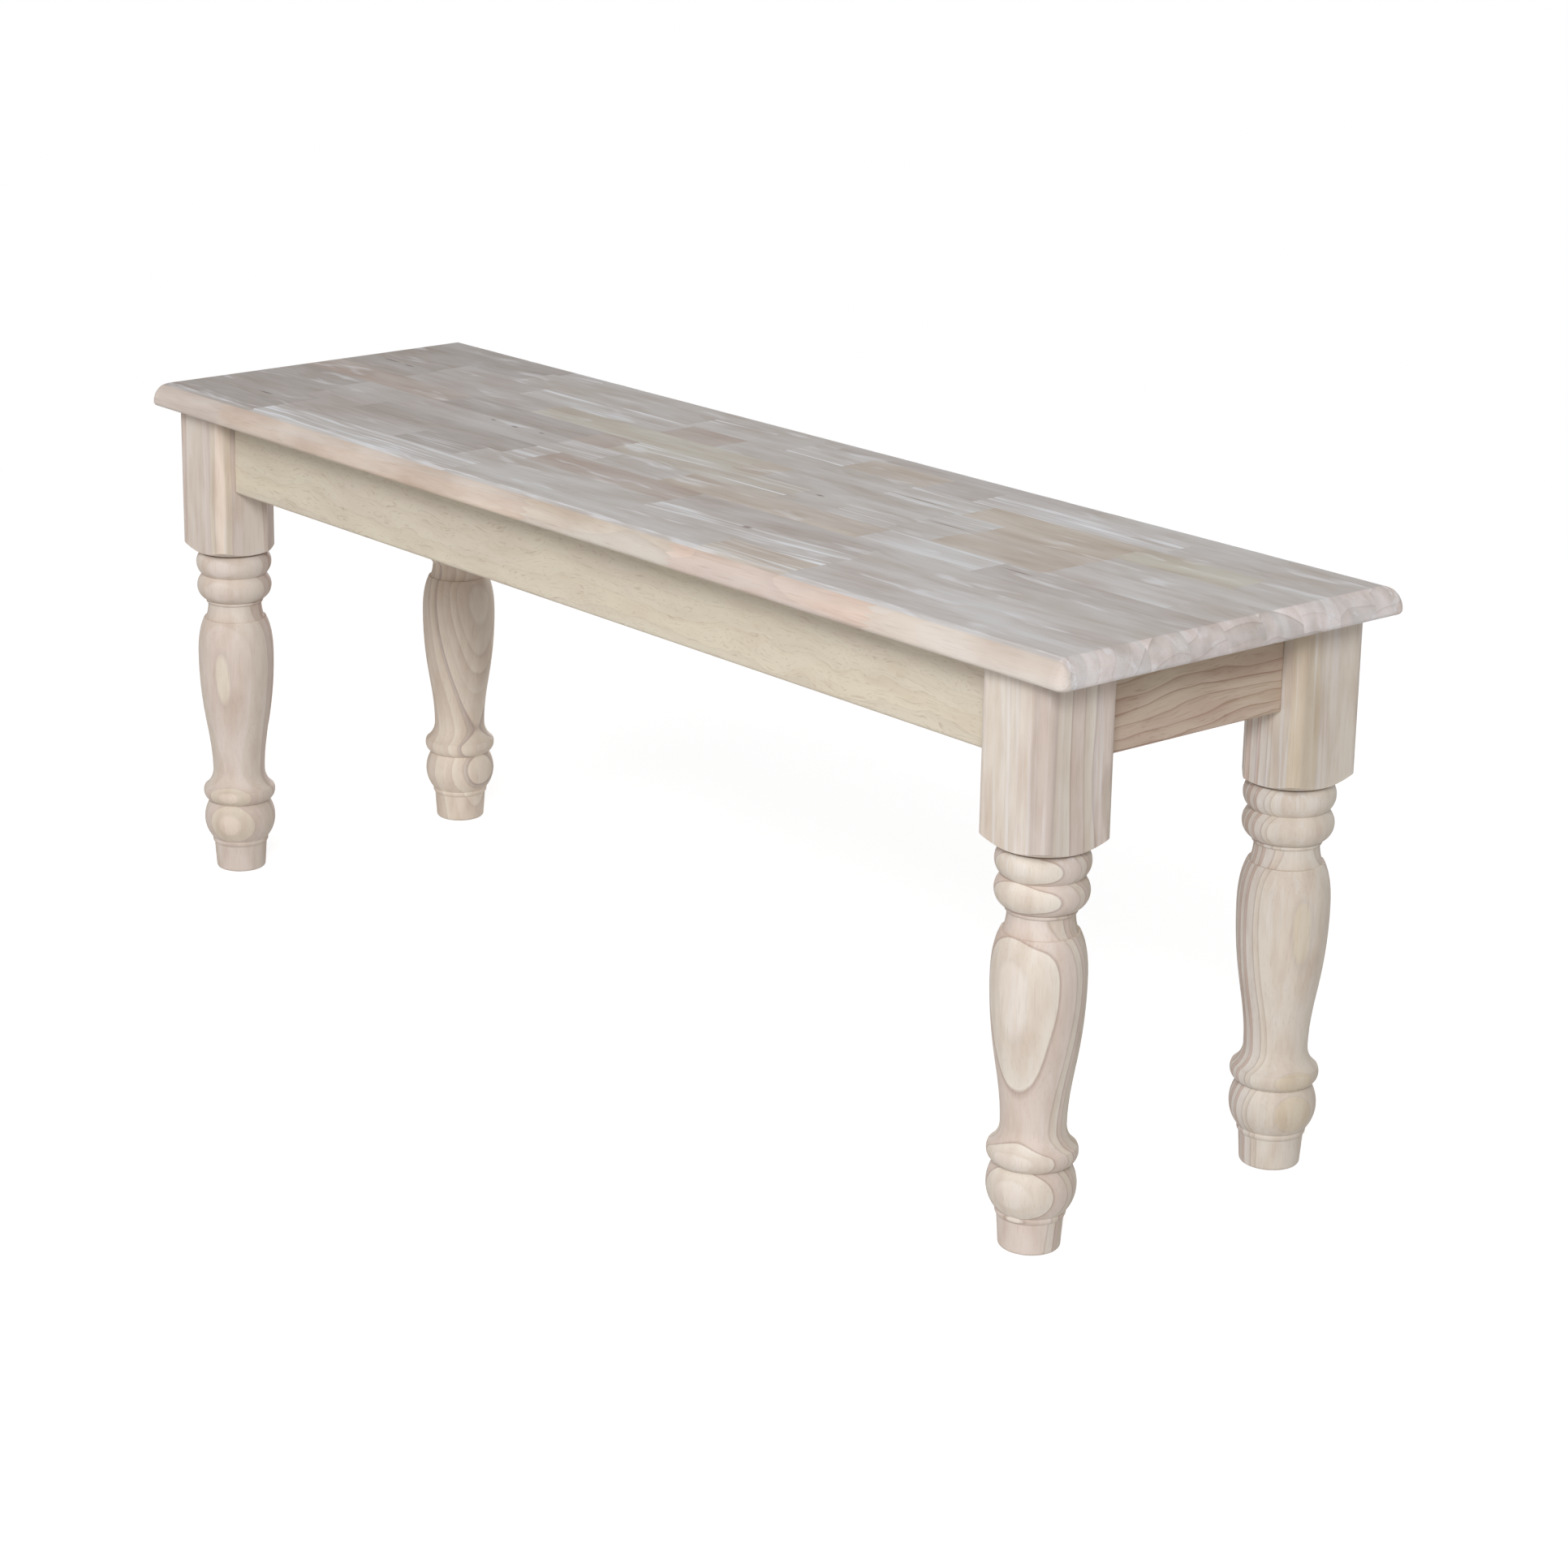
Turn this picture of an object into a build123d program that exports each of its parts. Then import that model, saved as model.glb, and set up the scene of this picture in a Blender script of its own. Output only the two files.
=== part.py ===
"""Farmhouse bench in pale rubberwood, with a moulded seat, four aprons and turned legs.

Millimetres. X runs along the seat, Y from the front (-Y) to the back (+Y), and Z up.
The origin is on the floor, under the middle of the seat.
"""

import os
from math import ceil, sqrt

from build123d import *

# Seat panel, edge-glued from staves and moulded on all four sides
seat_length = 1188.0
seat_depth = 350.0
seat_height = 460.0  # floor to the top of the seat
seat_thickness = 21.0
edge_inset = 13.0  # from the crease on top to the outermost line
edge_under_radius = 3.5  # roll at the bottom of the edge
seat_corner_radius = 8.0  # in plan, at the outermost line
stave_width = 38.5
front_strip_width = 8.75  # what the saw left of the first stave; the last one takes the rest

# Leg block, the square upper part
leg_block_width = 70.0
leg_block_height = 130.6  # from the turned shoulder to the seat
leg_corner_radius = 9.0
leg_bolt_flat = 20.0  # chamfer on the inner corner, along each face
leg_end_overhang = 25.0  # seat end past the block's outer face
leg_side_overhang = 13.0  # seat side past the block's outer face
shoulder_rim_radius = 34.8  # circle at the bottom of the block
shoulder_slope = 0.5  # rise of the cone that trims the corners, for each mm outwards

# Leg turning, from the floor up
foot_height = 25.0
foot_sole_radius = 22.9
foot_top_radius = 24.4
foot_edge_radius = 3.0
ankle_ring_height = 5.0
ankle_ring_radius = 25.9
ball_height = 36.5
ball_radius = 32.9
ball_middle = 20.4  # widest line, up from the ring
ball_low_radius = 25.6
ball_groove_radius = 27.7
collar_height = 13.5
collar_radius = 33.4
collar_middle = 9.0  # widest line, up from the ball
collar_arris_radius = 32.4
flare_height = 16.0
stem_radius = 24.1
vase_radius = 34.85
vase_middle_radius = 30.7  # half way from the stem to the widest line
vase_crown_height = 35.0  # from the widest line to the top of the vase
vase_top_radius = 28.7
neck_height = 14.5
neck_low_radius = 27.0
neck_radius = 24.5
neck_ring_height = 4.0
neck_ring_radius = 26.3
lower_bead_height = 23.2
lower_bead_radius = 34.3
lower_bead_middle = 12.3  # widest line, up from the ring
lower_bead_low_radius = 27.4
bead_groove_radius = 29.2
upper_bead_height = 20.8
upper_bead_radius = 34.6
upper_bead_middle = 11.6  # widest line, up from the groove
upper_bead_top_radius = 31.0
quirk_height = 2.4  # shadow gap under the block
quirk_radius = 28.0

# Aprons
apron_height = 70.0
apron_thickness = 20.0
apron_setback = 16.0  # behind the faces of the leg blocks
apron_edge_radius = 3.0

# Corner blocks, and the hanger bolts that draw the legs into the frame
corner_block_height = 57.0
corner_block_thickness = 24.0
bolt_gap = 10.0  # between a leg's chamfer and its corner block
bolt_radius = 4.0
bolt_bite = 42.0  # in the leg
bolt_point = 6.0
bolt_tail = 5.0  # past the nut
bolt_clearance = 0.3
washer_radius = 11.0
washer_thickness = 1.6
nut_width = 13.0  # across the flats
nut_thickness = 6.5

# Centre brace under the seat, housed in the long aprons
brace_width = 60.0
brace_thickness = 28.0
brace_housing = 5.0
brace_screw_spacing = 90.0

# Wood screws with domed heads and a cross recess
screw_radius = 2.0
screw_point = 4.0
screw_head_radius = 4.2
screw_head_height = 2.6
screw_head_rim = 0.9  # upright part of the head's edge
screw_recess_width = 1.0
screw_recess_length = 4.4
screw_recess_depth = 1.4
screw_clearance = 0.2
head_clearance = 0.8
block_screw_grip = 11.0  # wood under the head, in the corner block
block_screw_bite = 14.0  # in the apron
block_screw_spacing = 32.0  # up the block
seat_screw_grip = 25.0
seat_screw_bite = 13.0  # in the seat
seat_screw_spacing = 36.0  # along the corner block

# Worked-out places
seat_underside = seat_height - seat_thickness
shoulder_height = seat_underside - leg_block_height
half_block = leg_block_width / 2
leg_x = seat_length / 2 - leg_end_overhang - half_block
leg_y = seat_depth / 2 - leg_side_overhang - half_block
apron_outside = half_block - apron_setback  # from a leg's axis to an apron's outer face
apron_inside = apron_outside - apron_thickness
flat_distance = (leg_block_width - leg_bolt_flat) / sqrt(2)  # from a leg's axis to its chamfer
block_front = flat_distance + bolt_gap
block_back = block_front + corner_block_thickness
bolt_height = seat_underside - corner_block_height / 2

ends = {"right": 1, "left": -1}
sides = {"back": 1, "front": -1}
up = Vector(0, 0, 1)


def save(piece, name):
    """Label a finished piece and write it as one STEP file."""
    piece.label = name
    export_step(piece, f"parts/{name}.step")


def corner_planes(reach_x, reach_y):
    """Planes on the floor near the bench's corners, turned so that +X and +Y point out of it."""
    planes = {}
    for side, back in sides.items():
        for end, right in ends.items():
            turned = (right, 0, 0) if right == back else (0, back, 0)
            origin = (right * reach_x, back * reach_y, 0)
            planes[f"{side}_{end}"] = Plane(origin=origin, x_dir=turned, z_dir=up)
    return planes


corners = corner_planes(leg_x, leg_y)  # at the legs' axes


def inward(corner):
    """Level direction from a leg's axis along the diagonal, into the bench."""
    return -(corner.x_dir + corner.y_dir).normalized()


def bolt_plane(corner, distance):
    """Plane square to a hanger bolt, facing into the bench, so far in from the leg's axis."""
    origin = corner.origin + inward(corner) * distance + up * bolt_height
    return Plane(origin=origin, x_dir=up, z_dir=inward(corner))


def block_screw_planes(corner):
    """Head seats of the screws from a corner block into its two aprons, facing the driver."""
    along = apron_inside + (block_front + block_back) / sqrt(2)
    head = apron_inside - block_screw_grip
    planes = []
    for level in (-block_screw_spacing / 2, block_screw_spacing / 2):
        height = bolt_height + level
        in_long = corner.from_local_coords((-along, head, height))
        in_short = corner.from_local_coords((head, -along, height))
        planes.append(Plane(origin=in_long, x_dir=up, z_dir=-corner.y_dir))
        planes.append(Plane(origin=in_short, x_dir=up, z_dir=-corner.x_dir))
    return planes


def block_seat_screw_planes(corner):
    """Head seats of the screws from a corner block up into the seat, facing down."""
    middle = inward(corner) * (block_front + block_back) / 2
    across = inward(corner).cross(up)
    head = up * (seat_underside - seat_screw_grip)
    reaches = (-seat_screw_spacing / 2, seat_screw_spacing / 2)
    return [
        Plane(origin=corner.origin + middle + across * reach + head, x_dir=(1, 0, 0), z_dir=-up)
        for reach in reaches
    ]


block_screw_seats = [plane for corner in corners.values() for plane in block_screw_planes(corner)]
brace_screw_seats = [
    Plane(
        origin=(0, reach, seat_underside - seat_screw_grip),
        x_dir=(1, 0, 0),
        z_dir=-up,
    )
    for reach in (-brace_screw_spacing / 2, brace_screw_spacing / 2)
]
seat_screw_seats = brace_screw_seats + [
    plane for corner in corners.values() for plane in block_seat_screw_planes(corner)
]


def edge_section(inner, outer):
    """Section of the seat from the upright line inner to its moulded edge at outer."""
    with BuildSketch() as section:
        with BuildLine():
            underside = Line((inner, seat_underside), (outer - edge_under_radius, seat_underside))
            roll = TangentArc(
                underside @ 1, (outer, seat_underside + edge_under_radius), tangent=underside % 1
            )
            moulding = TangentArc(roll @ 1, (outer - edge_inset, seat_height), tangent=roll % 1)
            top = Line(moulding @ 1, (inner, seat_height))
            Line(top @ 1, underside @ 0)
        make_face()
    return section.sketch


def make_seat_panel():
    """Whole seat: two crossed mouldings, with turned corners in place of the mitred points."""
    with BuildPart() as round_corner:
        with BuildSketch(Plane.XZ):
            add(edge_section(-edge_inset, seat_corner_radius))
            split(bisect_by=Plane.YZ, keep=Keep.TOP)
        revolve(axis=Axis.Z, revolution_arc=90)
    corner_centres = corner_planes(
        seat_length / 2 - seat_corner_radius, seat_depth / 2 - seat_corner_radius
    )

    with BuildPart() as panel:
        with BuildSketch(Plane.YZ):
            add(edge_section(0, seat_depth / 2))
            mirror(about=Plane.YZ)
        extrude(amount=seat_length / 2, both=True)
        with BuildSketch(Plane.XZ):
            add(edge_section(0, seat_length / 2))
            mirror(about=Plane.YZ)
        extrude(amount=seat_depth / 2, both=True, mode=Mode.INTERSECT)
        with BuildSketch(Plane.XY.offset(seat_underside)):
            with GridLocations(
                seat_length - seat_corner_radius, seat_depth - seat_corner_radius, 2, 2
            ):
                Rectangle(seat_corner_radius, seat_corner_radius)
        extrude(amount=seat_thickness, mode=Mode.SUBTRACT)
        with Locations(*corner_centres.values()):
            add(round_corner.part)
        with Locations(*seat_screw_seats):
            Hole(screw_radius + screw_clearance, seat_screw_grip + seat_screw_bite)
    return panel.part


def leg_turning():
    """Half section of the turned part of a leg: X is the radius and Y the height."""
    ankle = foot_height + ankle_ring_height
    ball_top = ankle + ball_height
    collar_top = ball_top + collar_height
    flare_top = collar_top + flare_height
    bead_top = shoulder_height - quirk_height
    groove = bead_top - upper_bead_height
    lower_bead = groove - lower_bead_height
    neck_top = lower_bead - neck_ring_height
    vase_top = neck_top - neck_height
    widest = vase_top - vase_crown_height

    with BuildSketch() as turning:
        with BuildLine():
            # Foot, ankle ring and ball
            sole = Line((0, 0), (foot_sole_radius - foot_edge_radius, 0))
            edge = TangentArc(sole @ 1, (foot_sole_radius, foot_edge_radius), tangent=sole % 1)
            foot = Line(edge @ 1, (foot_top_radius, foot_height))
            ring = ThreePointArc(
                foot @ 1,
                (ankle_ring_radius, foot_height + ankle_ring_height / 2),
                (ball_low_radius, ankle),
            )
            ball = ThreePointArc(
                ring @ 1,
                (ball_radius, ankle + ball_middle),
                (ball_groove_radius, ball_top),
            )
            # Collar, and the flare from the stem down to its arris
            arris = (collar_arris_radius, collar_top)
            ThreePointArc(ball @ 1, (collar_radius, ball_top + collar_middle), arris)
            stem = (stem_radius, flare_top)
            TangentArc(stem, arris, tangent=(0, -1))
            # Vase, from the stem to its widest line and over the crown
            swell = Spline(
                stem,
                (vase_middle_radius, (flare_top + widest) / 2),
                (vase_radius, widest),
                tangents=((0, 1), (0, 1)),
            )
            crown = Spline(swell @ 1, (vase_top_radius, vase_top), tangents=((0, 1), (-1, 2)))
            # Neck and its ring
            step = Line(crown @ 1, (neck_low_radius, vase_top))
            neck = (neck_radius, neck_top)
            TangentArc(neck, step @ 1, tangent=(0, -1))
            neck_ring = ThreePointArc(
                neck,
                (neck_ring_radius, neck_top + neck_ring_height / 2),
                (neck_radius, lower_bead),
            )
            # Two beads, and the shadow gap under the block
            bead_step = Line(neck_ring @ 1, (lower_bead_low_radius, lower_bead))
            low_bead = ThreePointArc(
                bead_step @ 1,
                (lower_bead_radius, lower_bead + lower_bead_middle),
                (bead_groove_radius, groove),
            )
            top_bead = ThreePointArc(
                low_bead @ 1,
                (upper_bead_radius, groove + upper_bead_middle),
                (upper_bead_top_radius, bead_top),
            )
            Polyline(
                top_bead @ 1,
                (quirk_radius, bead_top),
                (quirk_radius, shoulder_height),
                (0, shoulder_height),
                (0, 0),
            )
        make_face()
    return turning.sketch


def make_leg(corner, turning):
    """One leg: the square block, trimmed to a cone at the shoulder, on the turning."""
    axis = Axis(corner.origin, up)
    upright = Plane(origin=corner.origin, x_dir=corner.x_dir, z_dir=-corner.y_dir)
    trim_reach = leg_block_width

    with BuildPart() as leg:
        with BuildSketch(corner.offset(shoulder_height)) as block:
            Rectangle(leg_block_width, leg_block_width)
            fillet(block.vertices().sort_by(lambda v: v.X + v.Y)[1:], leg_corner_radius)
            chamfer(block.vertices().sort_by(lambda v: v.X + v.Y)[0], leg_bolt_flat)
        extrude(amount=leg_block_height)
        with BuildSketch(upright):
            with BuildLine():
                Polyline(
                    (shoulder_rim_radius, shoulder_height),
                    (shoulder_rim_radius + trim_reach, shoulder_height),
                    (
                        shoulder_rim_radius + trim_reach,
                        shoulder_height + trim_reach * shoulder_slope,
                    ),
                    close=True,
                )
            make_face()
        revolve(axis=axis, mode=Mode.SUBTRACT)
        with BuildSketch(upright):
            add(turning)
        revolve(axis=axis)
        with Locations(bolt_plane(corner, flat_distance)):
            Hole(bolt_radius + bolt_clearance, bolt_bite)
    return leg.part


def make_apron(outward, reach, length):
    """One apron between two legs: its inner face lies reach out from the middle of the bench."""
    middle = seat_underside - apron_height / 2
    inner_face = Plane(
        origin=outward * reach + up * middle, x_dir=up.cross(outward), z_dir=outward
    )
    with BuildPart() as apron:
        with BuildSketch(inner_face):
            Rectangle(length, apron_height)
        extrude(amount=apron_thickness)
        outer_face = apron.faces().sort_by(Axis(inner_face.origin, outward))[-1]
        fillet(outer_face.edges().sort_by(Axis.Z)[:-1], apron_edge_radius)
        with Locations(*block_screw_seats):
            Hole(screw_radius + screw_clearance, block_screw_grip + block_screw_bite)
    return apron.part


def make_corner_block(corner):
    """Block across an inside corner of the frame, mitred to sit flat on both aprons."""
    near = block_front * sqrt(2) + apron_inside
    far = block_back * sqrt(2) + apron_inside
    with BuildPart() as block:
        with BuildSketch(corner.offset(seat_underside - corner_block_height)):
            with BuildLine():
                Polyline(
                    (-near, apron_inside),
                    (apron_inside, -near),
                    (apron_inside, -far),
                    (-far, apron_inside),
                    close=True,
                )
            make_face()
        extrude(amount=corner_block_height)
        with Locations(bolt_plane(corner, block_back)):
            Hole(bolt_radius + bolt_clearance)
        with Locations(*block_screw_planes(corner)):
            CounterBoreHole(
                screw_radius + screw_clearance,
                screw_head_radius + head_clearance,
                0,
                corner_block_thickness,
            )
        with Locations(*block_seat_screw_planes(corner)):
            CounterBoreHole(
                screw_radius + screw_clearance,
                screw_head_radius + head_clearance,
                0,
                corner_block_height,
            )
    return block.part


def make_screw(length):
    """Wood screw along -Z, with its head's flat underside at the origin."""
    with BuildPart() as screw:
        with BuildSketch(Plane.XZ):
            with BuildLine():
                shank = Polyline(
                    (0, -length),
                    (screw_radius, screw_point - length),
                    (screw_radius, 0),
                    (screw_head_radius, 0),
                    (screw_head_radius, screw_head_rim),
                )
                crown = (0, screw_head_height)
                TangentArc(crown, shank @ 1, tangent=(1, 0))
                Line(crown, shank @ 0)
            make_face()
        revolve(axis=Axis.Z)
        with BuildSketch(Plane.XY.offset(screw_head_height)):
            Rectangle(screw_recess_length, screw_recess_width)
            Rectangle(screw_recess_width, screw_recess_length)
        extrude(amount=-screw_recess_depth, mode=Mode.SUBTRACT)
    return screw.part


def make_hanger_bolt():
    """Hanger bolt along Z, with the leg's chamfer at the origin and its point in the leg."""
    tail = bolt_gap + corner_block_thickness + washer_thickness + nut_thickness + bolt_tail
    with BuildPart() as bolt:
        with BuildSketch(Plane.XZ):
            with BuildLine():
                Polyline(
                    (0, -bolt_bite),
                    (bolt_radius, bolt_point - bolt_bite),
                    (bolt_radius, tail),
                    (0, tail),
                    close=True,
                )
            make_face()
        revolve(axis=Axis.Z)
    return bolt.part


def make_washer():
    """Plain washer on the XY plane."""
    with BuildPart() as washer:
        with BuildSketch():
            Circle(washer_radius)
            Circle(bolt_radius + bolt_clearance, mode=Mode.SUBTRACT)
        extrude(amount=washer_thickness)
    return washer.part


def make_nut():
    """Hex nut on the XY plane."""
    with BuildPart() as nut:
        with BuildSketch():
            RegularPolygon(nut_width / 2, 6, major_radius=False)
            Circle(bolt_radius + bolt_clearance, mode=Mode.SUBTRACT)
        extrude(amount=nut_thickness)
    return nut.part


def make_group(piece, planes):
    """Separate copies of one fastener, one on each plane."""
    with BuildPart() as group:
        with Locations(*planes):
            add(piece)
    return group.part


os.makedirs("parts", exist_ok=True)

# Seat staves, numbered from the front
seat_panel = make_seat_panel()
first_glue_line = front_strip_width - seat_depth / 2
glue_line_count = ceil((seat_depth - front_strip_width) / stave_width)
glue_lines = [first_glue_line + line * stave_width for line in range(glue_line_count)]
stave_fronts = [-seat_depth / 2] + glue_lines
stave_backs = glue_lines + [seat_depth / 2]
for number, (front, back) in enumerate(zip(stave_fronts, stave_backs), start=1):
    with BuildPart() as stave:
        add(seat_panel)
        split(bisect_by=Plane((0, front, 0), z_dir=(0, 1, 0)), keep=Keep.TOP)
        split(bisect_by=Plane((0, back, 0), z_dir=(0, 1, 0)), keep=Keep.BOTTOM)
    save(stave.part, f"seat_stave_{number}")

# Legs and corner blocks
turned_profile = leg_turning()
for place, corner in corners.items():
    save(make_leg(corner, turned_profile), f"leg_{place}")
    save(make_corner_block(corner), f"corner_block_{place}")

# Long aprons, housed for the centre brace, and the brace
brace_length = 2 * (leg_y + apron_inside + brace_housing)
brace_middle = (0, 0, seat_underside - brace_thickness / 2)
for name, side in sides.items():
    with BuildPart() as long_apron:
        add(make_apron(Vector(0, side, 0), leg_y + apron_inside, 2 * (leg_x - half_block)))
        with Locations(brace_middle):
            Box(brace_width, brace_length, brace_thickness, mode=Mode.SUBTRACT)
    save(long_apron.part, f"{name}_apron")

with BuildPart() as centre_brace:
    with Locations(brace_middle):
        Box(brace_width, brace_length, brace_thickness)
    with Locations(*brace_screw_seats):
        CounterBoreHole(
            screw_radius + screw_clearance,
            screw_head_radius + head_clearance,
            0,
            brace_thickness,
        )
save(centre_brace.part, "centre_brace")

# Short aprons at the ends
for name, end in ends.items():
    short_apron = make_apron(Vector(end, 0, 0), leg_x + apron_inside, 2 * (leg_y - half_block))
    save(short_apron, f"{name}_apron")

# Fasteners
block_screw = make_screw(block_screw_grip + block_screw_bite)
seat_screw = make_screw(seat_screw_grip + seat_screw_bite)
flats = [bolt_plane(corner, flat_distance) for corner in corners.values()]
washer_seats = [bolt_plane(corner, block_back) for corner in corners.values()]
nut_seats = [bolt_plane(corner, block_back + washer_thickness) for corner in corners.values()]
save(make_group(block_screw, block_screw_seats), "corner_block_screws")
save(make_group(seat_screw, seat_screw_seats), "seat_screws")
save(make_group(make_hanger_bolt(), flats), "hanger_bolts")
save(make_group(make_washer(), washer_seats), "bolt_washers")
save(make_group(make_nut(), nut_seats), "bolt_nuts")
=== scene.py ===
"""Unfinished rubberwood farmhouse bench: its finishes, a pale studio and the photograph's camera."""

import math

import bpy
from mathutils import Matrix, Vector


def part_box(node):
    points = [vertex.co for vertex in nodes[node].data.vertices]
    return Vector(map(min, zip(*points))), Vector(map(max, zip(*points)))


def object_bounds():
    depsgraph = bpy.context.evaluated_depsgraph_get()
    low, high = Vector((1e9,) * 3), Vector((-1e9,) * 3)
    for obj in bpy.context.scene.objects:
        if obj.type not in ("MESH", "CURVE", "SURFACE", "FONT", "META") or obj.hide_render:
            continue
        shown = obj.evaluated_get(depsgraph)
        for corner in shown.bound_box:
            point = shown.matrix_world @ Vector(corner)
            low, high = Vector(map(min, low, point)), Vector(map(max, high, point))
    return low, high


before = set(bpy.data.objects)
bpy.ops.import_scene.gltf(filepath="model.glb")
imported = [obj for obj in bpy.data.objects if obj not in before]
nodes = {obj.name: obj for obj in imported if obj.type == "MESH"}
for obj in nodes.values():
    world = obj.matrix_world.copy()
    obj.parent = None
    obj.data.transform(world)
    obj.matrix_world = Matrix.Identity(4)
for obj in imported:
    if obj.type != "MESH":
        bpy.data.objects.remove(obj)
cad_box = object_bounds()

MM = 0.001
along_x = Vector((1, 0, 0))
along_y = Vector((0, 1, 0))
upright = Vector((0, 0, 1))

# Camera, solved from the bench's edges: place in mm, turns in degrees, lens in mm and the frame's shift
camera_place = (2329.2, -1905.6, 1148.9)
camera_turn = (73.723, -0.126, 52.582)
camera_sensor = 36.0
camera_lens = 86.0
camera_shift = (0.1236, -0.0579)

# Studio, with its sizes in m, and the place, size and watts of each soft box
white = (1, 1, 1, 1)
floor_reach = 12.0
floor_paint = "#e6e6e6"
floor_glow = 0.84  # white that the floor near the bench shows by itself
floor_answer = 0.35  # share of the lamps' light that it adds there, so that it keeps the bench's shadow
shadow_fades = (0.9, 2.2)  # from the middle to where the shadow starts to fade, and to where it is gone
even_light = 0.245
even_tint = "#fffaf3"
lamp_tint = "#f8fbff"
lamp_aim = Vector((0.1, 0, 0.3))
lamps = {
    "key": ((3.8, -3.6, 3.35), 1.8, 208.0),
    "fill": ((0.5, -3.4, 4.0), 3.0, 78.0),
    "front": ((0.7, -5.6, 2.25), 2.4, 27.0),
    "back": ((-0.6, 4.3, 1.2), 2.4, 40.0),
    "low": ((-2.8, 2.8, 0.32), 0.6, 55.0),
}

# Bare rubberwood as it comes off the sander: each block, board and year's growth is one of these, and some
# also hold painted light or shade, as noted below
tones = {
    "cream": "#dbd1c4",
    "straw": "#d5cab9",
    "flax": "#d3c8b3",
    "oat": "#d0c2ad",
    "wheat": "#d6c9b8",
    "peach": "#dac9b9",
    "salmon": "#dcc5b5",
    "blush": "#d6c8bd",
    "pink": "#d2bfb3",
    "milk": "#ded6cd",
    "shell": "#d9cdc1",
    "dusk": "#c1b2a7",
    "fawn": "#c7b8a7",
    "honey": "#ccbda8",
    "sienna": "#c4ae9e",
    # From ash to tan, the seat's tones are greyer and cooler than the same wood's on the legs and aprons: the
    # blocks' own tones, with painted cool light of the seat's top mixed in.
    "ash": "#cac7c4",
    "chalk": "#d0cecd",
    "dun": "#c1bcb9",
    # Umber ends nearly every stave at the far left: a darker block tone with painted shade mixed in, where
    # the light falls off towards the far end.
    "umber_far_shade": "#b2aca8",
    "rose": "#bcafa7",
    "putty": "#cac5b8",
    "tan": "#c8beb2",
    # The next two tones, used only on the back-left leg, are paler than that wood: painted light that
    # brightens the leg where it stands in the bench's shade.
    "ivory_painted_light": "#eaddcd",
    "linen_painted_light": "#e5d7c8",
    "reed": "#d0c5b4",
}
pale_fibre = "#e6e6e9"  # woolly fibre that the sander raises
end_grain = "#f2e8e6"

# Tints that are multiplied in, and the settings of a Mix node that does so
late_wood = "#d3c0b2"  # towards the end of each year's growth
ring_line = "#b0958a"  # along the line where the growth stops
vessel_tint = "#c9b8a9"  # where the open vessels run
mark_tint = "#8b7365"  # at pin knots and dark flecks
saw_tint = "#bfae9c"  # along the strokes of the saw
staining = {"data_type": "RGBA", "blend_type": "MULTIPLY"}

# Figure of the wood, with its sizes in mm
vessel_width = 0.9  # about four times the real width, so that the dashes show
vessel_depth = 0.1
year_swing = 0.4  # how much of a year's tone is its own, beside the clouds that cross the years
ripening = 3.0  # power of the darkening through a year, which keeps it to the year's end

# Zinc plating: its two tones and the size of its spangle in mm, drawn coarse so that it shows
zinc_dull = "#b9bdc2"
zinc_bright = "#d3d5d6"
spangle_size = 2.0

# Seat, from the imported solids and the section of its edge, in mm
seat_low, seat_high = [corner / MM for corner in cad_box]
seat_length = seat_high.x - seat_low.x
edge_inset = 13.0  # from the creases on top to the outermost line
side_crease = seat_high.y - edge_inset
end_crease = seat_length / 2 - edge_inset
finger_pitch = 5.0
finger_length = 11.0
block_shift = (110.0, 60.0, 900.0)  # the most that the blocks' places in a tree lie apart
block_slant = 0.06  # the steepest slope of a block's grain, to either side
stave_step = 0.37  # these two steps set the seeds of the staves and of their blocks apart
block_step = 0.618

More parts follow.
